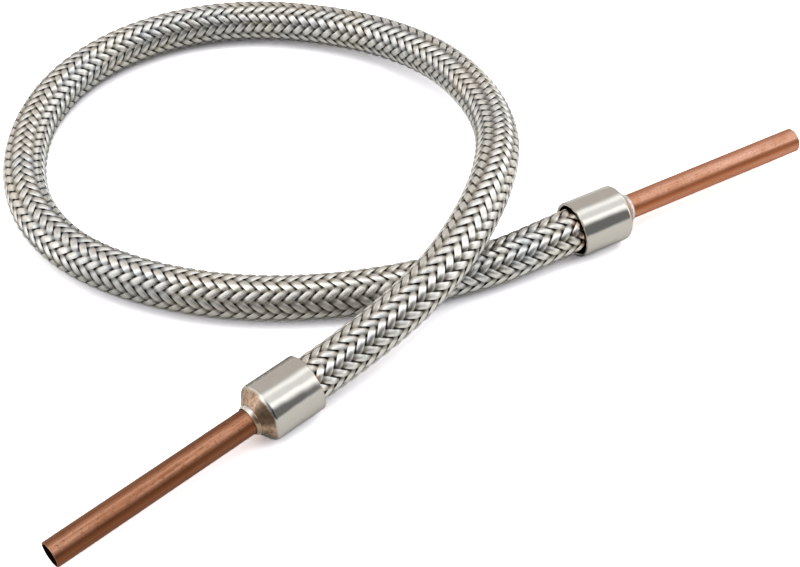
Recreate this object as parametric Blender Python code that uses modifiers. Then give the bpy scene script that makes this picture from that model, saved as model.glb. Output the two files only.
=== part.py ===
"""A braided flexible hose with a ferrule and a plain copper stub on each end, lying in one loop.

Metres, +Z up. The floor is z = 0, and the origin is on it, under the middle of the hose's bounding box.
The two stubs point away from each other along -X (left) and +X (right), each turned a little out of line,
and the hose loops round behind them, towards +Y. Each end is built along its own axis, which starts at
the ferrule's nose: distances along it are positive into the hose and negative out along the stub.
"""

import math

import bpy
import numpy as np
from mathutils import Matrix, Vector

MM = 0.001

# Copper stub: a 3/8 in tube, cut square.
TUBE_OD = 9.525 * MM
TUBE_WALL = 0.81 * MM
STUB_LENGTH = 79.5 * MM
STUB_INSIDE = 14.0 * MM
STUB_CHAMFER = 0.15 * MM

# Corrugated inner hose, which slips over the inner end of each stub.
CUFF_CLEARANCE = 0.45 * MM
HOSE_WALL = 0.3 * MM
CORRUGATION_DEPTH = 1.3 * MM
CORRUGATION_PITCH = 7.2 * MM
CUFF_LENGTH = 8.0 * MM
HOSE_SIDES = 8

# Wire braid, as one tube from the inside to the outside of its plaits.
BRAID_CLEARANCE = 0.4 * MM
BRAID_WALL = 0.64 * MM
BRAID_SIDES = 12
BRAID_STATIONS = 76

# Ferrule: a cup drawn over the end of the braid, with a coned nose.
FERRULE_CLEARANCE = 1.05 * MM
FERRULE_WALL = 1.2 * MM
FERRULE_LENGTH = 23.6 * MM
NOSE_LENGTH = 3.75 * MM
SHOULDER_RADIUS = 1.6 * MM
SHOULDER_SWEEP = 52
NOSE_RIM = 0.85 * MM
LIP_CHAMFER = 0.3 * MM
TURNED_STEPS = 40
SHOULDER_STEPS = 4

# Braze: a fillet round the stub at the nose, and a ring inside that holds hose, braid and ferrule.
FIT_GAP = 0.3 * MM
FILLET_LENGTH = 1.2 * MM
FILLET_HEIGHT = 0.9 * MM
FILLET_TOE = 0.2 * MM
SEAT_LENGTH = 2.7 * MM

# Where the two noses lie on the floor, and which way each ferrule's mouth faces, in degrees from +X.
LEFT_NOSE = (-83.7 * MM, -104.2 * MM)
LEFT_TURN = 6.4
RIGHT_NOSE = (83.7 * MM, -101.3 * MM)
RIGHT_TURN = 172.95

# The hose's way from the left mouth to the right one: x and y in millimetres, and the height of its
# underside above the floor in hose diameters. It climbs over its own other leg once, about a diameter up.
ROUTE = [
    (-30.9, -100.5, 0.43), (-2.9, -97.3, 0.865), (23.6, -86, 1.11), (47, -68, 1.08), (65.2, -45, 0.8),
    (76.2, -18.5, 0.52), (80.1, 10.5, 0.3), (74.4, 38.7, 0.17), (60.5, 64.5, 0.09), (40.9, 86.5, 0.05),
    (16.1, 102.3, 0.03), (-11.9, 109, 0.02), (-40.9, 105.5, 0.01), (-65.9, 91.5, 0.01), (-84.9, 69, 0.01),
    (-95.8, 42.5, 0.01), (-96.2, 14, 0.01), (-86.6, -13.3, 0.03), (-70.1, -37.6, 0.03), (-48.7, -58.1, 0.03),
    (-23.9, -73.8, 0.02), (3.1, -85.5, 0.01), (31.1, -94, 0.04),
]

# Radii that follow from the sizes above, from the stub outwards. A hose's radius is that of its corners,
# so what must pass inside a many-sided tube is kept clear of its flats.
TUBE_RADIUS = TUBE_OD / 2
TUBE_BORE = TUBE_RADIUS - TUBE_WALL
STUB_HOLE = TUBE_RADIUS + FIT_GAP
ROOT_RADIUS = (TUBE_RADIUS + CUFF_CLEARANCE) / math.cos(math.pi / HOSE_SIDES) + HOSE_WALL
CREST_RADIUS = ROOT_RADIUS + CORRUGATION_DEPTH
BRAID_RADIUS = (CREST_RADIUS + BRAID_CLEARANCE) / math.cos(math.pi / BRAID_SIDES) + BRAID_WALL
FERRULE_BORE = BRAID_RADIUS + FERRULE_CLEARANCE
FERRULE_RADIUS = FERRULE_BORE + FERRULE_WALL

# The brazed seat starts behind the nose's inner cone, and the hose and braid end against it.
SEAT_START = NOSE_LENGTH + FERRULE_WALL + SHOULDER_RADIUS
HOSE_START = SEAT_START + SEAT_LENGTH + FIT_GAP

MODEL = "braided_flexible_hose"


def clear_scene():
    for thing in list(bpy.data.objects):
        bpy.data.objects.remove(thing, do_unlink=True)


def new_collection(name):
    group = bpy.data.collections.new(name)
    bpy.context.scene.collection.children.link(group)
    return group


def new_material(name, colour, roughness, metallic):
    material = bpy.data.materials.new(name)
    material.use_nodes = True
    shader = material.node_tree.nodes["Principled BSDF"]
    shader.inputs["Base Color"].default_value = (*colour, 1.0)
    shader.inputs["Roughness"].default_value = roughness
    shader.inputs["Metallic"].default_value = metallic
    material.diffuse_color = (*colour, 1.0)
    return material


def add_end(name, nose, turn, group):
    """An empty at the nose of one ferrule, with its local +Z pointing along the axis into the hose."""
    end = bpy.data.objects.new(name, None)
    direction = Vector((math.cos(math.radians(turn)), math.sin(math.radians(turn)), 0.0))
    place = Matrix.Translation((*nose, FERRULE_RADIUS))
    end.matrix_world = place @ direction.to_track_quat("Z", "Y").to_matrix().to_4x4()
    group.objects.link(end)
    return end


def along(end, distance):
    """The point of an end's axis at a distance into the hose."""
    return end.matrix_world @ Vector((0.0, 0.0, distance))


def add_turned(name, profile, end, material, group):
    """A ring turned round an end's axis. The profile is a closed loop of (radius, distance along the axis),
    which runs down its outer side towards the stub and back up its inner side."""
    mesh = bpy.data.meshes.new(name)
    corners = [(radius, 0.0, distance) for radius, distance in profile]
    edges = [(i, (i + 1) % len(corners)) for i in range(len(corners))]
    mesh.from_pydata(corners, edges, [])
    ring = bpy.data.objects.new(name, mesh)
    ring.parent = end
    group.objects.link(ring)
    screw = ring.modifiers.new("turn", "SCREW")
    screw.axis = "Z"
    screw.angle = math.tau
    screw.steps = TURNED_STEPS
    screw.render_steps = TURNED_STEPS
    screw.use_merge_vertices = True
    screw.merge_threshold = 0.00001
    screw.use_smooth_shade = True
    mesh.materials.append(material)
    return ring


def arc(centre, radius, first, last, steps):
    """Points of an arc in a profile, from one angle in degrees to another."""
    angles = [math.radians(first + (last - first) * i / steps) for i in range(steps + 1)]
    return [(centre[0] + radius * math.cos(a), centre[1] + radius * math.sin(a)) for a in angles]


def ferrule_profile():
    """Straight from the mouth to a rounded shoulder, a coned nose, and an even wall inside it."""
    shoulder = (FERRULE_RADIUS - SHOULDER_RADIUS, NOSE_LENGTH + SHOULDER_RADIUS / 2)
    rim = STUB_HOLE + NOSE_RIM
    return [
        (FERRULE_RADIUS - LIP_CHAMFER, FERRULE_LENGTH),
        (FERRULE_RADIUS, FERRULE_LENGTH - LIP_CHAMFER),
        *arc(shoulder, SHOULDER_RADIUS, 0, -SHOULDER_SWEEP, SHOULDER_STEPS),
        (rim, 0.0),
        (STUB_HOLE, 0.0),
        (STUB_HOLE, FERRULE_WALL),
        (FERRULE_BORE - SHOULDER_RADIUS, NOSE_LENGTH + FERRULE_WALL / 2),
        (FERRULE_BORE, SEAT_START - FIT_GAP),
        (FERRULE_BORE, FERRULE_LENGTH - LIP_CHAMFER),
        (FERRULE_BORE + LIP_CHAMFER, FERRULE_LENGTH),
    ]


def stub_profile():
    """A plain tube, with a small chamfer round its square-cut open end."""
    return [
        (TUBE_RADIUS, STUB_INSIDE),
        (TUBE_RADIUS, STUB_CHAMFER - STUB_LENGTH),
        (TUBE_RADIUS - STUB_CHAMFER, -STUB_LENGTH),
        (TUBE_BORE, -STUB_LENGTH),
        (TUBE_BORE, STUB_INSIDE),
    ]


def fillet_profile():
    """The silver braze that fills the corner between the nose and the stub."""
    return [
        (STUB_HOLE + FILLET_HEIGHT, -FIT_GAP),
        (STUB_HOLE + FILLET_HEIGHT, -FIT_GAP - FILLET_TOE),
        (STUB_HOLE + FILLET_HEIGHT / 2, -FIT_GAP - FILLET_LENGTH / 2),
        (STUB_HOLE + FILLET_TOE, -FIT_GAP - FILLET_LENGTH),
        (STUB_HOLE, -FIT_GAP - FILLET_LENGTH),
        (STUB_HOLE, -FIT_GAP),
    ]


def seat_profile():
    """The brazed ring inside the ferrule, between its bore and the stub."""
    outer = FERRULE_BORE - FIT_GAP
    return [
        (outer, SEAT_START + SEAT_LENGTH),
        (outer, SEAT_START),
        (STUB_HOLE, SEAT_START),
        (STUB_HOLE, SEAT_START + SEAT_LENGTH),
    ]


def smooth_curve(points, samples):
    """A natural cubic spline through the points, read at many even steps of its chord length."""
    points = np.array(points, dtype=float)
    knots = np.concatenate([[0.0], np.cumsum(np.linalg.norm(np.diff(points, axis=0), axis=1))])
    steps = np.diff(knots)
    count = len(points)
    system = np.eye(count)
    bends = np.zeros((count, 3))
    for i in range(1, count - 1):
        before, after = steps[i - 1], steps[i]
        system[i, i - 1:i + 2] = before, 2 * (before + after), after
        bends[i] = 6 * ((points[i + 1] - points[i]) / after - (points[i] - points[i - 1]) / before)
    bends = np.linalg.solve(system, bends)
    places = np.linspace(0.0, knots[-1], samples)
    spans = np.clip(np.searchsorted(knots, places, side="right") - 1, 0, count - 2)
    step = steps[spans][:, None]
    left = ((knots[spans + 1] - places) / steps[spans])[:, None]
    right = 1 - left
    return (left * points[spans] + right * points[spans + 1]
            + ((left ** 3 - left) * bends[spans] + (right ** 3 - right) * bends[spans + 1]) * step ** 2 / 6)


def hose_centreline(left, right, samples=2000):
    """The hose's middle line, from one brazed seat to the other, and the length along it at each point."""
    diameter = 2 * BRAID_RADIUS
    lying = [(x * MM, y * MM, BRAID_RADIUS + lift * diameter) for x, y, lift in ROUTE]
    leaving = [along(left, HOSE_START), along(left, FERRULE_LENGTH)]
    arriving = [along(right, FERRULE_LENGTH), along(right, HOSE_START)]
    line = smooth_curve([*leaving, *lying, *arriving], samples)
    lengths = np.concatenate([[0.0], np.cumsum(np.linalg.norm(np.diff(line, axis=0), axis=1))])
    return line, lengths


def stations_at(line, lengths, distances):
    """The points of the middle line at the given distances along it."""
    return np.stack([np.interp(distances, lengths, line[:, axis]) for axis in range(3)], axis=1)


def add_tube(name, stations, radii, sides, wall, material, group):
    """A tube of even wall along the stations, open at both ends, with its outer corners at the radii."""
    curve = bpy.data.curves.new(name + "_path", "CURVE")
    curve.dimensions = "3D"
    curve.bevel_depth = max(radii)
    curve.bevel_resolution = sides // 2 - 2
    spline = curve.splines.new("POLY")
    spline.points.add(len(stations) - 1)
    for point, place, radius in zip(spline.points, stations, radii):
        point.co = (*place, 1.0)
        point.radius = radius / max(radii)
    path = bpy.data.objects.new(name + "_path", curve)
    group.objects.link(path)
    evaluated = path.evaluated_get(bpy.context.evaluated_depsgraph_get())
    mesh = bpy.data.meshes.new_from_object(evaluated)
    mesh.name = name
    bpy.data.objects.remove(path, do_unlink=True)
    tube = bpy.data.objects.new(name, mesh)
    group.objects.link(tube)
    mesh.shade_smooth()
    mesh.materials.clear()
    mesh.materials.append(material)
    shell = tube.modifiers.new("wall", "SOLIDIFY")
    shell.thickness = wall
    shell.offset = -1.0
    return tube


def add_braid(line, lengths, material, group):
    stations = stations_at(line, lengths, np.linspace(0.0, lengths[-1], BRAID_STATIONS))
    radii = [BRAID_RADIUS] * len(stations)
    return add_tube("braid", stations, radii, BRAID_SIDES, BRAID_WALL, material, group)


def add_corrugated_hose(line, lengths, material, group):
    """Plain cuffs at the ends, and between them a crest for each pitch and a root between the crests."""
    corrugated = lengths[-1] - 2 * CUFF_LENGTH
    crests = round(corrugated / CORRUGATION_PITCH)
    ridges = np.linspace(CUFF_LENGTH, lengths[-1] - CUFF_LENGTH, 2 * crests + 1)
    distances = np.concatenate([[0.0], ridges, [lengths[-1]]])
    radii = [ROOT_RADIUS, *([ROOT_RADIUS, CREST_RADIUS] * crests), ROOT_RADIUS, ROOT_RADIUS]
    stations = stations_at(line, lengths, distances)
    return add_tube("corrugated_hose", stations, radii, HOSE_SIDES, HOSE_WALL, material, group)


def main():
    clear_scene()
    group = new_collection(MODEL)
    copper = new_material("copper", (0.55, 0.25, 0.14), 0.35, 1.0)
    nickel = new_material("nickel_plate", (0.72, 0.70, 0.66), 0.2, 1.0)
    silver = new_material("silver_braze", (0.78, 0.76, 0.72), 0.4, 1.0)
    wire = new_material("tinned_wire", (0.66, 0.65, 0.62), 0.35, 1.0)
    bronze = new_material("bronze_hose", (0.50, 0.36, 0.20), 0.4, 1.0)

    ends = {
        "left": add_end("left_end", LEFT_NOSE, LEFT_TURN, group),
        "right": add_end("right_end", RIGHT_NOSE, RIGHT_TURN, group),
    }
    bpy.context.view_layer.update()
    for side, end in ends.items():
        add_turned(side + "_copper_stub", stub_profile(), end, copper, group)
        add_turned(side + "_ferrule", ferrule_profile(), end, nickel, group)
        add_turned(side + "_stub_braze", fillet_profile(), end, silver, group)
        add_turned(side + "_hose_braze", seat_profile(), end, silver, group)

    line, lengths = hose_centreline(ends["left"], ends["right"])
    add_corrugated_hose(line, lengths, bronze, group)
    add_braid(line, lengths, wire, group)
    print(f"hose length between the brazed seats: {lengths[-1] / MM:.1f} mm")
    print(f"braid diameter {2 * BRAID_RADIUS / MM:.2f} mm, ferrule diameter {2 * FERRULE_RADIUS / MM:.2f} mm")


main()
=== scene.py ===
# %% [markdown]
# # A braided flexible hose, dressed for the camera
#
# The CAD model gives every piece its place and its main size. This notebook adds the looks: a braid
# woven from separate plaits of wire, turned ends with their real edges, a finish for each metal, and
# plain studio light. Lengths are in metres, the floor is z = 0 and +Z is up.

# %% Load the frame
import math

import bmesh
import bpy
import numpy as np
from mathutils import Matrix, Vector, noise


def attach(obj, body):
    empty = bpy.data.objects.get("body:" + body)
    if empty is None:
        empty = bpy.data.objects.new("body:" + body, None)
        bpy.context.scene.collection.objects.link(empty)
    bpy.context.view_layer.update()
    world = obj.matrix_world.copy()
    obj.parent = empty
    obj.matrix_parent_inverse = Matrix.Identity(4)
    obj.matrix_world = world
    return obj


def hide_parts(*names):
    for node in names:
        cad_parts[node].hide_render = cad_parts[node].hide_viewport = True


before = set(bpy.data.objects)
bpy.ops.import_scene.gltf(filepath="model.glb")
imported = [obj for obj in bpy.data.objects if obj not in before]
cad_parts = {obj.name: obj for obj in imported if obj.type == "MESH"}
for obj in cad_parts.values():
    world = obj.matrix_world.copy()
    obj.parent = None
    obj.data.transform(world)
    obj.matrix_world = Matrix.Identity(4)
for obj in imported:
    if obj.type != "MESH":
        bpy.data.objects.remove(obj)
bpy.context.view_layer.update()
MM = 0.001
scene = bpy.context.scene
print("CAD nodes:", ", ".join(sorted(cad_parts)))

# %% [markdown]
# ## The camera
#
# A photograph fixes its camera by the shapes in it. Here the known widths of tube, braid and ferrule, and
# the way they shrink with distance, give a lens of 1500 pixels for a picture 800 pixels wide, held about
# 0.56 m from the hose, 46 degrees above the floor and rolled a little.

# %% Camera
PHOTO_WIDTH = 800
FOCAL_PIXELS = 1500
SENSOR_WIDTH = 36.0
EYE = Vector((-0.2172, -0.4003, 0.4006))
AIM = Vector((-0.0014, -0.0735, 0.0))
ROLL = math.radians(-2.59)

camera_data = bpy.data.cameras.new("camera")
camera_data.sensor_width = SENSOR_WIDTH
camera_data.lens = SENSOR_WIDTH * FOCAL_PIXELS / PHOTO_WIDTH
camera = bpy.data.objects.new("camera", camera_data)
aimed = (AIM - EYE).to_track_quat("-Z", "Y").to_matrix().to_4x4()
camera.matrix_world = Matrix.Translation(EYE) @ aimed @ Matrix.Rotation(ROLL, 4, "Z")
scene.collection.objects.link(camera)
scene.camera = camera
print(f"lens {camera_data.lens:.1f} mm, {(AIM - EYE).length:.3f} m from its aim")

# %% [markdown]
# ## The two ends
#
# Each end is turned round its own axis, which starts at the ferrule's nose and points into the hose. A
# matrix holds that frame, so a profile can be drawn flat as (radius, distance) and spun where it belongs.
# These are the CAD model's own values, so that what is modelled here sits where its solid does.

# %% Sizes and places of the ends
TUBE_RADIUS = 9.525 * MM / 2
TUBE_WALL = 0.81 * MM
STUB_LENGTH = 79.5 * MM
STUB_INSIDE = 14.0 * MM
FERRULE_RADIUS = 10.8 * MM
FERRULE_BORE = 9.6 * MM
FERRULE_LENGTH = 23.6 * MM
BRAID_RADIUS = 8.55 * MM
HOSE_START = 9.55 * MM


def end_frame(x, y, turn):
    """The matrix of an end: its origin at the nose, its +Z along the axis into the hose."""
    heading = Vector((math.cos(math.radians(turn)), math.sin(math.radians(turn)), 0.0))
    return Matrix.Translation((x, y, FERRULE_RADIUS)) @ heading.to_track_quat("Z", "Y").to_matrix().to_4x4()


ENDS = {
    "left": end_frame(-83.7 * MM, -104.2 * MM, 6.4),
    "right": end_frame(83.7 * MM, -101.3 * MM, 172.95),
}

# %% [markdown]
# ## The hose's way
#
# A hose this stiff lies in one smooth curve. Its way was found from the two edges of the braid in the
# photograph: x and y on the floor, and how many hose diameters its underside is lifted. A natural cubic
# spline runs through the points, because it bends as an elastic rod does.

# %% Middle line of the hose
ROUTE = [
    (-0.0309, -0.1005, 0.43), (-0.0029, -0.0973, 0.865), (0.0236, -0.0860, 1.11), (0.0470, -0.0680, 1.08),
    (0.0652, -0.0450, 0.80), (0.0762, -0.0185, 0.52), (0.0801, 0.0105, 0.30), (0.0744, 0.0387, 0.17),
    (0.0605, 0.0645, 0.09), (0.0409, 0.0865, 0.05), (0.0161, 0.1023, 0.03), (-0.0119, 0.1090, 0.02),
    (-0.0409, 0.1055, 0.01), (-0.0659, 0.0915, 0.01), (-0.0849, 0.0690, 0.01), (-0.0958, 0.0425, 0.01),
    (-0.0962, 0.0140, 0.01), (-0.0866, -0.0133, 0.03), (-0.0701, -0.0376, 0.03), (-0.0487, -0.0581, 0.03),
    (-0.0239, -0.0738, 0.02), (0.0031, -0.0855, 0.01), (0.0311, -0.0940, 0.04),
]


def smooth_curve(points, samples):
    """A natural cubic spline through the points, read at many even steps of its chord length."""
    points = np.array(points, dtype=float)
    knots = np.concatenate([[0.0], np.cumsum(np.linalg.norm(np.diff(points, axis=0), axis=1))])
    steps = np.diff(knots)
    count = len(points)
    system = np.eye(count)
    bends = np.zeros((count, 3))
    for i in range(1, count - 1):
        before, after = steps[i - 1], steps[i]
        system[i, i - 1:i + 2] = before, 2 * (before + after), after
        bends[i] = 6 * ((points[i + 1] - points[i]) / after - (points[i] - points[i - 1]) / before)
    bends = np.linalg.solve(system, bends)
    places = np.linspace(0.0, knots[-1], samples)
    spans = np.clip(np.searchsorted(knots, places, side="right") - 1, 0, count - 2)
    step = steps[spans][:, None]
    left = ((knots[spans + 1] - places) / steps[spans])[:, None]
    right = 1 - left
    return (left * points[spans] + right * points[spans + 1]
            + ((left ** 3 - left) * bends[spans] + (right ** 3 - right) * bends[spans + 1]) * step ** 2 / 6)


def on_axis(side, distance):
    return ENDS[side] @ Vector((0.0, 0.0, distance))


lying = [(x, y, BRAID_RADIUS * (1 + 2 * lift)) for x, y, lift in ROUTE]
line = smooth_curve([on_axis("left", HOSE_START), on_axis("left", FERRULE_LENGTH), *lying,
                     on_axis("right", FERRULE_LENGTH), on_axis("right", HOSE_START)], 3000)
lengths = np.concatenate([[0.0], np.cumsum(np.linalg.norm(np.diff(line, axis=0), axis=1))])
HOSE_LENGTH = lengths[-1]
IN_FERRULE = FERRULE_LENGTH - HOSE_START
print(f"hose {HOSE_LENGTH / MM:.1f} mm between its seats")

# %% [markdown]
# ## Bending a straight model
#
# A weave is easy to model straight and hard to model bent. So everything that follows the hose is built
# along +X, and carried onto the middle line at the end. The frame that goes along the line must not
# twist, or the braid would look wrung, so each step only tips the last frame onto the new direction.

# %% Carry a straight mesh onto the middle line
def untwisted_rail(points):
    """For each point of the line: its place, and two directions across it that never twist."""
    ahead = np.gradient(points, axis=0)
    ahead /= np.linalg.norm(ahead, axis=1)[:, None]
    up = np.zeros_like(points)
    up[0] = (0.0, 0.0, 1.0)
    for i in range(1, len(points)):
        tipped = up[i - 1] - ahead[i] * np.dot(up[i - 1], ahead[i])
        up[i] = tipped / np.linalg.norm(tipped)
    return np.hstack([points, up, np.cross(ahead, up)])


RAIL = untwisted_rail(line)


def carry(piece, where):
    """Moves a piece's vertices by where(), and keeps their old places in the attribute "own"."""
    mesh = piece.data
    own = np.zeros(len(mesh.vertices) * 3)
    mesh.vertices.foreach_get("co", own)
    kept = mesh.attributes.new("own", "FLOAT_VECTOR", "POINT")
    kept.data.foreach_set("vector", own)
    mesh.vertices.foreach_set("co", where(own.reshape(-1, 3)).ravel())
    mesh.update()
    return piece


def onto_hose(own):
    """Straight hose to real hose: x is the way along it, y and z lie across it."""
    place = np.stack([np.interp(own[:, 0], lengths, column) for column in RAIL.T], axis=1)
    return place[:, 0:3] + own[:, 1:2] * place[:, 3:6] + own[:, 2:3] * place[:, 6:9]


def onto_end(side):
    """An end's own frame to its place on the floor."""
    matrix = np.array(ENDS[side])
    return lambda own: own @ matrix[:3, :3].T + matrix[:3, 3]


def new_piece(name, bm, replaced=()):
    """Closes a bmesh into an object that rides on the part's one body."""
    mesh = bpy.data.meshes.new(name)
    bm.to_mesh(mesh)
    bm.free()
    piece = bpy.data.objects.new(name, mesh)
    scene.collection.objects.link(piece)
    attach(piece, "root")
    if replaced:
        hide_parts(*replaced)
    return piece


# %% [markdown]
# ## Sockets that do sums
#
# A finish is mostly arithmetic on masks, which are numbers from 0 to 1 over a surface. Wrapping a socket in
# a small class lets that be written as plain sums, and each sum adds its own Math node. Everything else
# goes through one method that takes a node's type, its settings and its inputs.

# %% Node helpers
class Socket:
    """An output of a node that takes part in sums."""

    def __init__(self, nodes, socket):
        self.nodes = nodes
        self.socket = socket

    def __add__(self, other):
        return self.nodes.maths("ADD", self, other)

    __radd__ = __add__

    def __mul__(self, other):
        return self.nodes.maths("MULTIPLY", self, other)

    __rmul__ = __mul__

    def __sub__(self, other):
        return self.nodes.maths("SUBTRACT", self, other)

    def __rsub__(self, other):
        return self.nodes.maths("SUBTRACT", other, self)

    def __truediv__(self, other):
        return self.nodes.maths("DIVIDE", self, other)

    def __pow__(self, other):
        return self.nodes.maths("POWER", self, other)

    def step(self, low, high):
        """0 below low, 1 above high, and smooth between them."""
        return self.nodes.node("MapRange", {"interpolation_type": "SMOOTHSTEP"},
                               {"Value": self, "From Min": low, "From Max": high})

    def near(self, place, inner, outer):
        """1 closer to place than inner, 0 further off than outer, and smooth between them."""
        return 1 - self.nodes.maths("ABSOLUTE", self - place).step(inner, outer)


class Nodes:
    """Adds nodes to the tree of a material or a world."""

    def __init__(self, tree):
        self.tree = tree

    def node(self, kind, settings=None, inputs=None, output=0):
        made = self.tree.nodes.new("ShaderNode" + kind)
        for name, value in (settings or {}).items():
            setattr(made, name, value)
        for name, value in (inputs or {}).items():
            self.feed(made.inputs[name], value)
        return Socket(self, made.outputs[output])

    def feed(self, entry, value):
        if isinstance(value, Socket):
            self.tree.links.new(value.socket, entry)
        else:
            entry.default_value = value

    def maths(self, operation, *values):
        return self.node("Math", {"operation": operation}, dict(enumerate(values)))

    def mix(self, mask, first, second):
        """Colours: first where the mask is 0, second where it is 1."""
        colours = {6: self.colour(first), 7: self.colour(second)}
        return self.node("Mix", {"data_type": "RGBA"}, {0: mask, **colours}, 2)

    def colour(self, value):
        return value if isinstance(value, Socket) else (*value, 1.0)

    def parts(self, vector):
        """The x, y and z of a vector."""
        return [self.node("SeparateXYZ", None, {0: vector}, k) for k in range(3)]

    def own(self):
        """Where a point was before its piece was carried into place."""
        return self.node("Attribute", {"attribute_name": "own"}, None, "Vector")

    def noise(self, vector, scale, detail, stretch=(1.0, 1.0, 1.0)):
        """Noise from 0 to 1, about scale lumps to the metre."""
        placed = self.node("Mapping", None, {"Vector": vector, "Scale": stretch})
        return self.node("TexNoise", None, {"Vector": placed, "Scale": scale, "Detail": detail,
                                            "Roughness": 0.55})


class Finish(Nodes):
    """A material whose Principled shader is fed by name."""

    def __init__(self, name):
        self.material = bpy.data.materials.new(name)
        self.material.use_nodes = True
        super().__init__(self.material.node_tree)
        self.shader = self.tree.nodes["Principled BSDF"]

    def set(self, **inputs):
        for name, value in inputs.items():
            entry = self.shader.inputs[name.replace("_", " ")]
            self.feed(entry, (*value, 1.0) if isinstance(value, tuple) else value)

    def bump(self, height, distance, strength):
        self.set(Normal=self.node("Bump", None, {"Height": height, "Distance": distance,
                                                 "Strength": strength}))


def finish_piece(piece, finish):
    piece.data.materials.clear()
    piece.data.materials.append(finish.material)


# %% [markdown]
# ## The braid
#
# The sleeve is woven by a machine with 24 carriers: twelve plaits go round to the right and twelve to the
# left, each a flat band of wires laid side by side. Each plait passes over two and under two of the
# others, one step on for each neighbour, which gives rows of chevrons along the hose. A texture could
# only hint at that, so the plaits are modelled: one band's outline is spun into a helix, copied round
# the hose, and lifted or lowered where it crosses the other set. The pitch, from one chevron to the
# next, was measured in the photograph.

# %% One plait, straight
PLAITS = 12
WEAVE_PITCH = HOSE_LENGTH / round(HOSE_LENGTH / (4.65 * MM))
LEAD = PLAITS * WEAVE_PITCH
STEPS_PER_CROSSING = 3
WIRES = 7
WIRE_SPACING = 0.378 * MM
DOME = 0.40 * MM
RIDGE = 0.08 * MM
UNDERSIDE = 0.12 * MM
EDGE_INSET = 0.1 * MM
SHARP_VALLEY = math.radians(30)
FLOAT_ARCH = 0.32 * MM
FLOAT_STEP = 0.05 * MM
WEAVE_RADIUS = BRAID_RADIUS - DOME - RIDGE - FLOAT_ARCH - FLOAT_STEP
WEAVE_ANGLE = math.atan(math.tau * WEAVE_RADIUS / LEAD)


def band_outline():
    """(across, height) of a band: domed, with a ridge for each wire, and a flat underside."""
    width = WIRES * WIRE_SPACING
    ridged = []
    for k in range(2 * WIRES + 1):
        across = k * WIRE_SPACING / 2 - width / 2
        ridged.append((across, DOME * (1 - (2 * across / width) ** 2) + (RIDGE if k % 2 else 0.0)))
    inset = width / 2 - EDGE_INSET
    return [*ridged, (inset, -UNDERSIDE), (-inset, -UNDERSIDE)]


def straight_plait(lay):
    """A helical band along +X. lay is 1 for a right-hand helix and -1 for a left-hand one."""
    bm = bmesh.new()
    corners = []
    for across, height in band_outline():
        angle = across * math.cos(WEAVE_ANGLE) / WEAVE_RADIUS
        radius = WEAVE_RADIUS + height
        corners.append(bm.verts.new((-lay * across * math.sin(WEAVE_ANGLE),
                                     radius * math.cos(angle), radius * math.sin(angle))))
    for here, there in zip(corners, corners[1:] + corners[:1]):
        bm.edges.new((here, there))
    crossings = round(2 * HOSE_LENGTH / WEAVE_PITCH)
    steps = crossings * STEPS_PER_CROSSING
    bmesh.ops.spin(bm, geom=bm.verts[:] + bm.edges[:], cent=(0, 0, 0), axis=(1, 0, 0),
                   dvec=(HOSE_LENGTH / steps, 0, 0), angle=lay * math.tau * HOSE_LENGTH / LEAD, steps=steps)
    bmesh.ops.holes_fill(bm, edges=bm.edges[:], sides=0)
    bmesh.ops.recalc_face_normals(bm, faces=bm.faces[:])
    for edge in bm.edges:
        edge.smooth = edge.calc_face_angle_signed(0.0) > 0.0 or edge.calc_face_angle(0.0) < SHARP_VALLEY
    for face in bm.faces:
        face.smooth = True
    mesh = bpy.data.meshes.new("straight_plait")
    bm.to_mesh(mesh)
    bm.free()
    return mesh


# %% [markdown]
# ## Over two, under two
#
# A float is the stretch in which a plait lies on top of the other set. It rises in a low arch, which
# catches the light in its middle, and steps down at both ends, where the next plait begins to cover it.
# So its lift is a cosine for the arch and a small, steep S-curve for the step.

# %% Weave the plaits
STEEPNESS = 5.5


def woven(own, lay):
    """Lifts the floats of a set of plaits and lowers what passes under the other set.

    Also says how far over the other set each point lies, 1 on top of a float and -1 at its lowest, and how
    far it is off its plait's middle, in spacings of the plaits.
    """
    around = np.arctan2(own[:, 2], own[:, 1]) * PLAITS / math.tau
    forward = own[:, 0] / WEAVE_PITCH
    plait = np.mod(around - lay * forward, PLAITS)
    crossing = np.rint(plait) + plait + lay * 2 * forward
    over = lay * np.cos(math.pi / 2 * (crossing - 0.5))
    lift = FLOAT_STEP * np.tanh(STEEPNESS * over) + FLOAT_ARCH * over
    radius = np.hypot(own[:, 1], own[:, 2])
    out = own.copy()
    out[:, 1:] *= ((radius + lift) / radius)[:, None]
    return out, over, np.abs(plait - np.rint(plait))


def add_plaits(name, lay, first, straight):
    """Every third plait of one set, so that a piece is a third of the set and runs the whole way."""
    bm = bmesh.new()
    for k in range(first, PLAITS, 3):
        known = len(bm.verts)
        bm.from_mesh(straight)
        bm.verts.ensure_lookup_table()
        bmesh.ops.rotate(bm, verts=bm.verts[known:], cent=(0, 0, 0),
                         matrix=Matrix.Rotation(math.tau * k / PLAITS, 3, "X"))
    piece = new_piece(name, bm, ["braid"])
    flat = np.zeros(len(piece.data.vertices) * 3)
    piece.data.vertices.foreach_get("co", flat)
    lifted, over, off_middle = woven(flat.reshape(-1, 3), lay)
    piece.data.vertices.foreach_set("co", lifted.ravel())
    piece.data.attributes.new("over", "FLOAT", "POINT").data.foreach_set("value", over)
    piece.data.attributes.new("off_middle", "FLOAT", "POINT").data.foreach_set("value", off_middle)
    return carry(piece, onto_hose)


plaits = []
for lay, word in ((1, "right"), (-1, "left")):
    straight = straight_plait(lay)
    for third in range(3):
        plaits.append(add_plaits(f"{word}_lay_plaits_{third + 1}", lay, third, straight))
    bpy.data.meshes.remove(straight)
print(f"weave angle {math.degrees(WEAVE_ANGLE):.1f} degrees, pitch {WEAVE_PITCH / MM:.2f} mm,",
      sum(len(piece.data.polygons) for piece in plaits), "faces")

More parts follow.
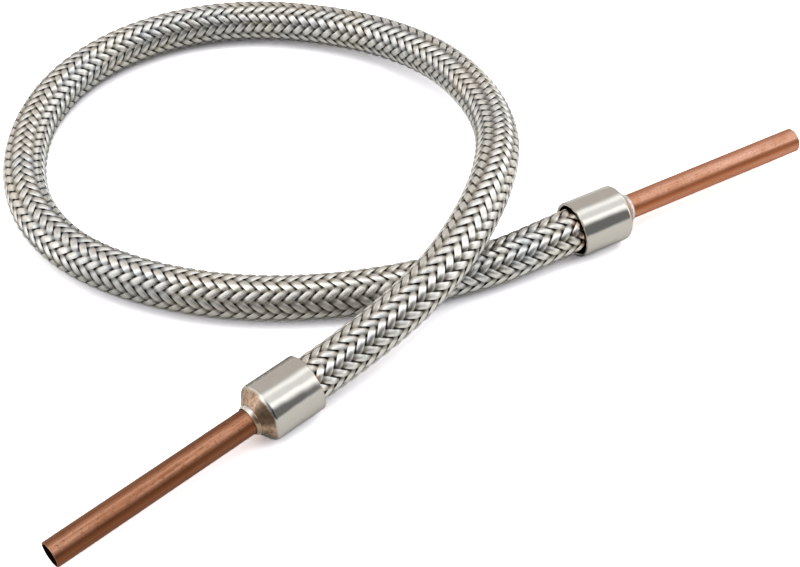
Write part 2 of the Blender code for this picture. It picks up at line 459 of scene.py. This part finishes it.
# %% [markdown]
# ## Wire finish
#
# The wire is tinned. A float has a painted highlight in its middle and painted shade towards its ends.
# Painted shade gives the braid its depth: the colour sinks towards the hose's middle, low between the
# plaits, in the corners where a float goes under, and on the undersides. The first stretch is painted
# lighter as painted light, two zones have lost their shine and carry painted shade, the braid inside the
# ferrules is painted near black as shade, and a breath of copper shows in the ferrules' mouths. Before the
# hose was bent its x ran along it, its y up and its z to the right of its way, and these three place the
# zones.

# %% Wire
PAINTED_LIGHT_UNTIL = (0.11, 0.17)
FRONT_BEND = 0.590
BACK_BEND = 0.285
GAP_SHADE = (0.175, 0.162, 0.146)
CORNER_SHADE = (0.042, 0.038, 0.034)
MOUTH_SHADE = (0.008, 0.007, 0.006)
BARE_COPPER = (0.72, 0.34, 0.17)

wire = Finish("tinned_wire")
own = wire.own()
along, upward, rightward = wire.parts(own)
radius = (upward * upward + rightward * rightward) ** 0.5
over = wire.node("Attribute", {"attribute_name": "over"}, None, "Fac")
off_middle = wire.node("Attribute", {"attribute_name": "off_middle"}, None, "Fac")
out_of_gap = radius.step(WEAVE_RADIUS + 0.02 * MM, WEAVE_RADIUS + 0.50 * MM)
# Painted highlight: 1 on the middle of a float, falling to 0 at its ends and where it passes under.
painted_float_highlight = over.step(0.10, 0.88)
# Painted shade in the corners where a float goes under.
painted_corner_shade = off_middle.step(0.20, 0.40) * over.near(0.0, 0.10, 0.62)
patches = wire.noise(own, 260.0, 2.0)
drift = wire.noise(own, 34.0, 2.0).step(0.44, 0.56)
speckle = wire.noise(own, 900.0, 1.0)

# Painted light: the first stretch is painted lighter, fading out between these places along the hose.
painted_light_start = 1 - along.step(*PAINTED_LIGHT_UNTIL)
right_side = rightward / radius
# Two zones lose their shine, which is real, and are also painted darker as painted shade.
front_outside = along.near(FRONT_BEND, 0.045, 0.085) * right_side.step(0.3, 0.95)
back_inside = along.near(BACK_BEND, 0.050, 0.110) * (right_side * -1).step(0.5, 1.0)
dull_and_painted_shade = front_outside * 0.46 + back_inside * 0.30
# Painted shade on the side of the hose that faces the floor.
painted_shade_below = (upward / radius * -1).step(0.35, 0.80) * 0.6

# Lit and shaded tones of the one wire: high is the painted highlight on a float's middle, low the painted
# shade at its ends.
low = wire.mix(drift, (0.40, 0.368, 0.32), (0.35, 0.36, 0.37))
low = wire.mix(painted_light_start, low, (0.44, 0.41, 0.365))
low = wire.mix(dull_and_painted_shade, low, (0.10, 0.092, 0.075))
high = wire.mix(drift, (0.95, 0.91, 0.85), (0.87, 0.89, 0.90))
high = wire.mix(patches.step(0.38 - painted_light_start * 0.12, 0.60 - painted_light_start * 0.12), high, (1.0, 0.985, 0.96))
high = wire.mix(dull_and_painted_shade, high, (0.34, 0.33, 0.30))
metal = wire.mix(painted_float_highlight, low, high)
metal = wire.mix(painted_shade_below, metal, (0.19, 0.19, 0.195))
# Painted shade: low between the plaits, towards the hose's middle, the colour sinks to a dark grey.
metal = wire.mix(out_of_gap, GAP_SHADE, metal)
metal = wire.mix(painted_corner_shade * 0.75, metal, CORNER_SHADE)

past_mouth = wire.maths("MINIMUM", along, HOSE_LENGTH - along) - IN_FERRULE
metal = wire.mix(past_mouth.step(-0.9 * MM, 0.1 * MM), MOUTH_SHADE, metal)
at_mouth = past_mouth.step(-0.2 * MM, 0.2 * MM) * (1 - past_mouth.step(0.5 * MM, 1.3 * MM))
bare = at_mouth * speckle.step(0.36, 0.48) * 0.75
dusted = (1 - past_mouth.step(2.0 * MM, 5.0 * MM)) * speckle.step(0.56, 0.64) * 0.4
wire.set(Base_Color=wire.mix(bare + dusted, metal, BARE_COPPER), Metallic=1.0,
         Roughness=0.15 - painted_float_highlight * 0.03 + patches * 0.05 + dull_and_painted_shade * 0.45)
for piece in plaits:
    finish_piece(piece, wire)

# %% [markdown]
# ## The inner hose
#
# Under the braid lies the part that holds the pressure, a thin bronze tube drawn into rings. Its colour
# is painted near black as shade, so only dark crests show through the gaps between the plaits. Its
# outline is one ring repeated, spun round +X.

# %% Corrugated inner hose
ROOT_RADIUS = 5.94 * MM
CREST_RADIUS = 7.22 * MM
HOSE_WALL = 0.3 * MM
CUFF_LENGTH = 8.0 * MM
RING_PITCH = 4.8 * MM
CREST_DROP = 0.25 * MM
HOSE_SPIN = 20

rings = round((HOSE_LENGTH - 2 * CUFF_LENGTH) / RING_PITCH)
pitch = (HOSE_LENGTH - 2 * CUFF_LENGTH) / rings
bm = bmesh.new()
outline = [(0.0, ROOT_RADIUS)]
for k in range(rings):
    start = CUFF_LENGTH + k * pitch
    outline += [(start, ROOT_RADIUS), (start + 0.3 * pitch, CREST_RADIUS - CREST_DROP),
                (start + 0.5 * pitch, CREST_RADIUS), (start + 0.7 * pitch, CREST_RADIUS - CREST_DROP)]
outline += [(HOSE_LENGTH - CUFF_LENGTH, ROOT_RADIUS), (HOSE_LENGTH, ROOT_RADIUS)]
corners = [bm.verts.new((x, radius, 0.0)) for x, radius in outline]
for here, there in zip(corners, corners[1:]):
    bm.edges.new((here, there))
bmesh.ops.spin(bm, geom=bm.verts[:] + bm.edges[:], cent=(0, 0, 0), axis=(1, 0, 0), angle=math.tau,
               steps=HOSE_SPIN, use_merge=True)
bmesh.ops.recalc_face_normals(bm, faces=bm.faces[:])
for face in bm.faces:
    face.smooth = True
inner_hose = carry(new_piece("rippled_inner_hose", bm, ["corrugated_hose"]), onto_hose)
wall = inner_hose.modifiers.new("wall", "SOLIDIFY")
wall.thickness = HOSE_WALL
wall.offset = -1.0
print(rings, "rings in the inner hose")

bronze = Finish("bronze_hose")
stain = bronze.noise(bronze.own(), 160.0, 3.0)
# Painted shade: the bronze is given a near black colour.
bronze.set(Base_Color=bronze.mix(stain, (0.02, 0.014, 0.008), (0.08, 0.052, 0.03)), Metallic=1.0,
           Roughness=stain * 0.25 + 0.4)
finish_piece(inner_hose, bronze)

# %% [markdown]
# ## Turned ends
#
# Ferrule, stub and braze are all round, so each is one outline spun round its end's axis. The real
# ferrule is a drawn cup: an even wall, a soft shoulder, a coned nose and a cut lip at its mouth.

# %% Spin an outline round an end
FULL_TURN = 96
CREASE = math.radians(33)


def arc(radius, distance, size, first, last, steps):
    """Points of an arc round (radius, distance), from one angle in degrees to another."""
    angles = [math.radians(first + (last - first) * i / steps) for i in range(steps + 1)]
    return [(radius + size * math.cos(a), distance + size * math.sin(a)) for a in angles]


def turned_bmesh(outline):
    bm = bmesh.new()
    corners = [bm.verts.new((radius, 0.0, distance)) for radius, distance in outline]
    for here, there in zip(corners, corners[1:] + corners[:1]):
        bm.edges.new((here, there))
    bmesh.ops.spin(bm, geom=bm.verts[:] + bm.edges[:], cent=(0, 0, 0), axis=(0, 0, 1), angle=math.tau,
                   steps=FULL_TURN, use_merge=True)
    bmesh.ops.recalc_face_normals(bm, faces=bm.faces[:])
    for face in bm.faces:
        face.smooth = True
    for edge in bm.edges:
        edge.smooth = edge.calc_face_angle(0.0) < CREASE
    return bm


def facing(side, x, y, direction):
    """How far the outside of an end's piece faces a direction of the room, by its place round the axis."""
    turned = ENDS[side].to_3x3().inverted() @ Vector(direction)
    return (x * turned.x + y * turned.y) / (x * x + y * y) ** 0.5


# %% Ferrules
NOSE_LENGTH = 3.75 * MM
WALL = 1.2 * MM
SHOULDER = 1.6 * MM
STUB_HOLE = TUBE_RADIUS + 0.3 * MM
LIP = 0.35 * MM
BORE_EDGE = 0.3 * MM
CONE_FOOT = 0.85 * MM


def ferrule_outline():
    return [
        *arc(FERRULE_RADIUS - LIP, FERRULE_LENGTH - LIP, LIP, 90, 0, 4),
        *arc(FERRULE_RADIUS - SHOULDER, NOSE_LENGTH + SHOULDER / 2, SHOULDER, 0, -52, 10),
        (STUB_HOLE + CONE_FOOT, 0.0),
        (STUB_HOLE, 0.0),
        (STUB_HOLE, WALL),
        (FERRULE_BORE - SHOULDER, NOSE_LENGTH + WALL / 2),
        (FERRULE_BORE, NOSE_LENGTH + WALL + SHOULDER - BORE_EDGE),
        (FERRULE_BORE, FERRULE_LENGTH - BORE_EDGE),
        (FERRULE_BORE + BORE_EDGE, FERRULE_LENGTH),
    ]


ferrules = {}
for side in ENDS:
    bm = turned_bmesh(ferrule_outline())
    piece = new_piece(side + "_plated_ferrule", bm, [side + "_ferrule"])
    ferrules[side] = carry(piece, onto_end(side))

# %% [markdown]
# ## Nickel plate
#
# The plate is bright enough to mirror the room. Brazing left its mark on the coned noses: the left one is
# heat-tinted brown, with a painted dark reflection where it faces the viewer, the right one only lost some
# shine. The left lip is worn down to the copper under the plate, the bores are painted near black as
# shade, and the underside towards the viewer carries painted shade.

# %% Plate the ferrules
TO_VIEWER = (0.0, -0.72, 0.69)
UNDER_FRONT = (0.0, -0.64, -0.77)
BARE_LIP = (0.62, 0.26, 0.12)


def nickel_finish(name, side, nose_dark, nose_pale, nose_dullness, painted_reflection_depth, bare_lip):
    """Bright plate, a coned nose with its own two colours and a painted dark reflection by an amount, a bore
    and an underside in painted shade, and a lip worn bare by an amount.
    """
    nickel = Finish(name)
    own = nickel.own()
    x, y, inward = nickel.parts(own)
    radius = (x * x + y * y) ** 0.5
    waves = nickel.noise(own, 130.0, 1.0)
    grain = nickel.noise(own, 420.0, 3.0)
    browning = nickel.noise(own, 200.0, 2.0)
    mottle = nickel.noise(own, 1100.0, 4.0)
    edge_wander = nickel.noise(own, 240.0, 2.0)
    underside = facing(side, x, y, UNDER_FRONT).step(0.84, 0.97)
    # Painted reflection: the nose is painted dark brown where it faces the viewer, by an amount.
    viewer_side_darkening = (facing(side, x, y, TO_VIEWER) + (browning - 0.5) * 0.3).step(0.80, 0.96)
    nose = 1 - (inward + (edge_wander - 0.5) * (1.6 * MM)).step(2.9 * MM, 3.6 * MM)
    inside = 1 - radius.step(FERRULE_BORE + 0.30 * MM, FERRULE_BORE + 0.42 * MM)
    off_lip = 1 - inward.step(FERRULE_LENGTH - 0.9 * MM, FERRULE_LENGTH - 0.2 * MM)
    # Painted shade: deep in the bore the colour is painted near black.
    painted_bore_shade = inside * inward.step(4.4 * MM, 4.8 * MM) * off_lip
    plate = nickel.mix(grain, (0.70, 0.67, 0.63), (0.78, 0.755, 0.72))
    spotted = nickel.mix(browning.step(0.35, 0.65) * 0.6 + mottle.step(0.42, 0.62) * 0.4, nose_dark, nose_pale)
    spotted = nickel.mix(viewer_side_darkening * painted_reflection_depth, spotted, (0.085, 0.055, 0.032))
    colour = nickel.mix(nose, plate, spotted)
    # Painted shade along the underside that faces down towards the viewer.
    colour = nickel.mix(underside * 0.6, colour, (0.22, 0.23, 0.24))
    lip = inward.step(FERRULE_LENGTH - 0.30 * MM, FERRULE_LENGTH - 0.14 * MM) * (1 - inside)
    colour = nickel.mix(lip * browning.step(0.30, 0.44) * bare_lip, colour, BARE_LIP)
    colour = nickel.mix(painted_bore_shade, colour, (0.012, 0.010, 0.009))
    nickel.set(Base_Color=colour, Metallic=1.0,
               Roughness=0.08 + grain * 0.05 + nose * nose_dullness + painted_bore_shade * 0.5)
    nickel.bump(waves + mottle * nose * 0.10, 0.25 * MM, 0.6)
    return nickel


finish_piece(ferrules["left"], nickel_finish(
    "nickel_tinted_nose_painted_reflection", "left", nose_dark=(0.25, 0.155, 0.095), nose_pale=(0.80, 0.57, 0.43),
    nose_dullness=0.22, painted_reflection_depth=0.85, bare_lip=0.95))
finish_piece(ferrules["right"], nickel_finish(
    "nickel_bright_nose", "right", nose_dark=(0.66, 0.63, 0.60), nose_pale=(0.88, 0.86, 0.83),
    nose_dullness=0.30, painted_reflection_depth=0.0, bare_lip=0.0))

# %% [markdown]
# ## Copper stubs
#
# Drawn tube is brushed lengthwise and never quite even in colour. The left stub has turned brown, the
# right one is still bright, and both carry painted shade in one strip low on the side towards the viewer
# and along the top towards the back.

# %% Stubs
CHAMFER = 0.15 * MM
LOW_FRONT = (0.0, -0.62, -0.78)
HIGH_BACK = (0.0, 0.66, 0.75)

stubs = {}
for side in ENDS:
    bore = TUBE_RADIUS - TUBE_WALL
    outline = [
        (TUBE_RADIUS, STUB_INSIDE), (TUBE_RADIUS, CHAMFER - STUB_LENGTH),
        (TUBE_RADIUS - CHAMFER, -STUB_LENGTH), (bore, -STUB_LENGTH), (bore, STUB_INSIDE),
    ]
    piece = new_piece(side + "_tube_stub", turned_bmesh(outline), [side + "_copper_stub"])
    stubs[side] = carry(piece, onto_end(side))


def copper_finish(name, side, dark, light, painted_shade_colour, amount, fade):
    """Brushed copper with painted shade by an amount low towards the viewer, a fade less of it further down,
    and some along the top towards the back.
    """
    copper = Finish(name)
    own = copper.own()
    x, y, _ = copper.parts(own)
    radius = (x * x + y * y) ** 0.5
    lowness = facing(side, x, y, LOW_FRONT)
    facing_low = lowness.step(-0.33, 0.12) * (1 - lowness.step(0.20, 0.55) * fade)
    facing_back = facing(side, x, y, HIGH_BACK).step(0.50, 0.95)
    brushed = copper.noise(own, 1500.0, 3.0, (1.0, 1.0, 0.03))
    streaks = copper.noise(own, 420.0, 2.0, (1.0, 1.0, 0.02))
    blotch = copper.noise(own, 260.0, 5.0, (1.0, 1.0, 0.6))
    pores = copper.noise(own, 1900.0, 2.0, (1.0, 1.0, 0.6))
    metal = copper.mix(streaks.step(0.36, 0.60) * 0.7 + blotch.step(0.36, 0.58) * 0.3, dark, light)
    metal = copper.mix(brushed.step(0.35, 0.70) * 0.30, metal, (0.86, 0.52, 0.37))
    metal = copper.mix((1 - pores.step(0.30, 0.46)) * 0.6, metal, tuple(part * 0.5 for part in dark))
    # Painted shade: a strip low towards the viewer and the top towards the back take a darker colour.
    metal = copper.mix(facing_low * amount + facing_back * 0.6, metal, painted_shade_colour)
    # Painted shade: inside the tube the colour is painted near black.
    painted_hollow_shade = 1 - radius.step(TUBE_RADIUS - 0.7 * MM, TUBE_RADIUS - 0.5 * MM)
    copper.set(Base_Color=copper.mix(painted_hollow_shade, metal, (0.03, 0.015, 0.01)), Metallic=1.0,
               Roughness=0.34 + blotch * 0.14 + painted_hollow_shade * 0.3)
    copper.bump(brushed * 0.5 + blotch * 0.5, 0.07 * MM, 0.6)
    return copper


finish_piece(stubs["left"], copper_finish(
    "tarnished_copper", "left", dark=(0.36, 0.140, 0.068), light=(0.66, 0.31, 0.185),
    painted_shade_colour=(0.226, 0.072, 0.024), amount=0.85, fade=0.12))
finish_piece(stubs["right"], copper_finish(
    "brushed_copper", "right", dark=(0.62, 0.27, 0.15), light=(0.98, 0.58, 0.45),
    painted_shade_colour=(0.60, 0.19, 0.07), amount=0.90, fade=0.40))

# %% [markdown]
# ## Silver braze
#
# The braze runs out of the joint as a small, lumpy fillet between nose and stub. It starts a hair off the
# nose and tapers down the tube. The braze inside the ferrule is the CAD model's own solid, and only gets
# the finish.

# %% Braze fillets
FILLET_START = -0.04 * MM
# How far outside the nose's hole and how far along the axis, in millimetres.
FILLET_STEPS = [(0.72, -0.35), (0.56, -0.75), (0.34, -1.1), (0.12, -1.42), (0.0, -1.5)]
TO_VIEWER_LOW = (0.0, -0.92, 0.38)


def braze_finish(name, side, browning):
    """Uneven silver braze, browner by an amount on the side that lies low towards the viewer."""
    silver = Finish(name)
    own = silver.own()
    x, y, _ = silver.parts(own)
    lumps = silver.noise(own, 700.0, 3.0)
    viewer_side_darkening = (facing(side, x, y, TO_VIEWER_LOW) + (lumps - 0.5) * 0.5).step(0.55, 0.85)
    metal = silver.mix(lumps.step(0.3, 0.6), (0.66, 0.62, 0.56), (0.97, 0.95, 0.92))
    silver.set(Base_Color=silver.mix(viewer_side_darkening * browning, metal, (0.50, 0.33, 0.22)), Metallic=1.0,
               Roughness=0.2 + lumps * 0.2)
    silver.bump(lumps, 0.12 * MM, 0.7)
    return silver


for side, browning in (("left", 0.9), ("right", 0.0)):
    outline = [(STUB_HOLE + 0.75 * MM, FILLET_START),
               *((STUB_HOLE + out * MM, distance * MM) for out, distance in FILLET_STEPS),
               (STUB_HOLE, FILLET_START)]
    piece = new_piece(side + "_braze_fillet", turned_bmesh(outline), [side + "_stub_braze"])
    silver = braze_finish(side + "_silver_braze", side, browning)
    finish_piece(carry(piece, onto_end(side)), silver)
    finish_piece(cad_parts[side + "_hose_braze"], silver)

# %% [markdown]
# ## The hose's middle line
#
# A hose has a real length, diameter and route. Its middle line leaves the left ferrule and ends in the right
# one, and every twentieth point of it, and its last, are listed here.

[tuple(point) for point in line[::20]] + [tuple(line[-1])]

# %% [markdown]
# ## Floor
#
# The photograph was taken on white paper. The paper is matt and keeps the hose's shadow. It looks paler to
# the camera than to the metal, so that it comes out white without more light on the hose.

# %% Floor
FLOOR_SIZE = 6.0
bm = bmesh.new()
bmesh.ops.create_grid(bm, x_segments=1, y_segments=1, size=FLOOR_SIZE / 2)
floor_mesh = bpy.data.meshes.new("floor")
bm.to_mesh(floor_mesh)
bm.free()
floor = bpy.data.objects.new("floor", floor_mesh)
scene.collection.objects.link(floor)

paper = Finish("white_paper")
to_camera = paper.node("LightPath", None, None, "Is Camera Ray")
lit = 0.72 + to_camera * 1.70
tinge = 0.95 + to_camera * 0.09
sheet = paper.node("CombineColor", None, {"Red": lit, "Green": lit * 0.99, "Blue": lit * tinge})
paper.set(Base_Color=sheet, Roughness=0.9, Specular_IOR_Level=0.0)
finish_piece(floor, paper)

# %% [markdown]
# ## Room and lamps
#
# Polished metal shows the room, so the room is painted by direction: east, north and height are the parts
# of the direction in which a ray leaves. It has a bright ceiling, a dark strip low in front that makes the
# one dark band in each ferrule, the glow of two lamps, a window at the back left and the dark figure of
# the viewer. Two real lamps add the soft shadow, and don't show in the metal themselves.

# %% Room
world = bpy.data.worlds.new("room")
scene.world = world
world.use_nodes = True
room = Nodes(world.node_tree)
direction = room.node("TexCoord", None, None, "Generated")
east, north, height = room.parts(direction)
overhead = north.step(-0.77, -0.61) * (1 - north.step(0.22, 0.46))
low_front = (1 - north.step(-0.77, -0.61)) * height.step(0.02, 0.14) * (1 - east.step(0.55, 0.80))
back_lamp = north.near(0.12, 0.02, 0.24)
front_lamp = north.near(-0.50, 0.03, 0.18) * east.step(-0.10, 0.20)
viewer = (1 - east.step(-0.30, 0.12)) * (1 - north.step(-0.50, -0.05))
window = (1 - east.step(-0.45, 0.0)) * north.step(-0.30, 0.10)
level = 0.58 + overhead * 0.34 - low_front * 0.40 + back_lamp * 0.36 + front_lamp * 0.50 + window * 0.30
level = level * (1 - viewer * 0.75)
tint = room.mix(north.step(0.25, 0.5), (0.99, 1.0, 0.99), (1.0, 0.94, 0.87))
seen = room.node("LightPath", None, None, "Is Camera Ray")
shown = room.mix(seen, tint, (1.0, 1.0, 1.0))
background = world.node_tree.nodes["Background"]
room.feed(background.inputs["Color"], shown)
room.feed(background.inputs["Strength"], level * (1 - seen) + seen)

# %% Lamps
def add_lamp(name, place, turn, size, radiance):
    """A strip of soft light that looks down, with a radiance of 1 for white."""
    lamp_data = bpy.data.lights.new(name, "AREA")
    lamp_data.shape = "RECTANGLE"
    lamp_data.size, lamp_data.size_y = size
    lamp_data.energy = radiance * math.pi * size[0] * size[1]
    lamp_data.color = (1.0, 0.99, 0.975)
    lamp = bpy.data.objects.new(name, lamp_data)
    lamp.matrix_world = Matrix.Translation(place) @ Matrix.Rotation(math.radians(turn), 4, "Z")
    lamp.visible_camera = False
    lamp.visible_glossy = False
    scene.collection.objects.link(lamp)
    return lamp


add_lamp("back_strip", (0.345, -0.087, 0.75), 39, (0.95, 0.27), 1.35)
add_lamp("front_strip", (0.395, -0.600, 0.75), 62, (0.95, 0.27), 1.50)
scene.view_settings.view_transform = "Standard"
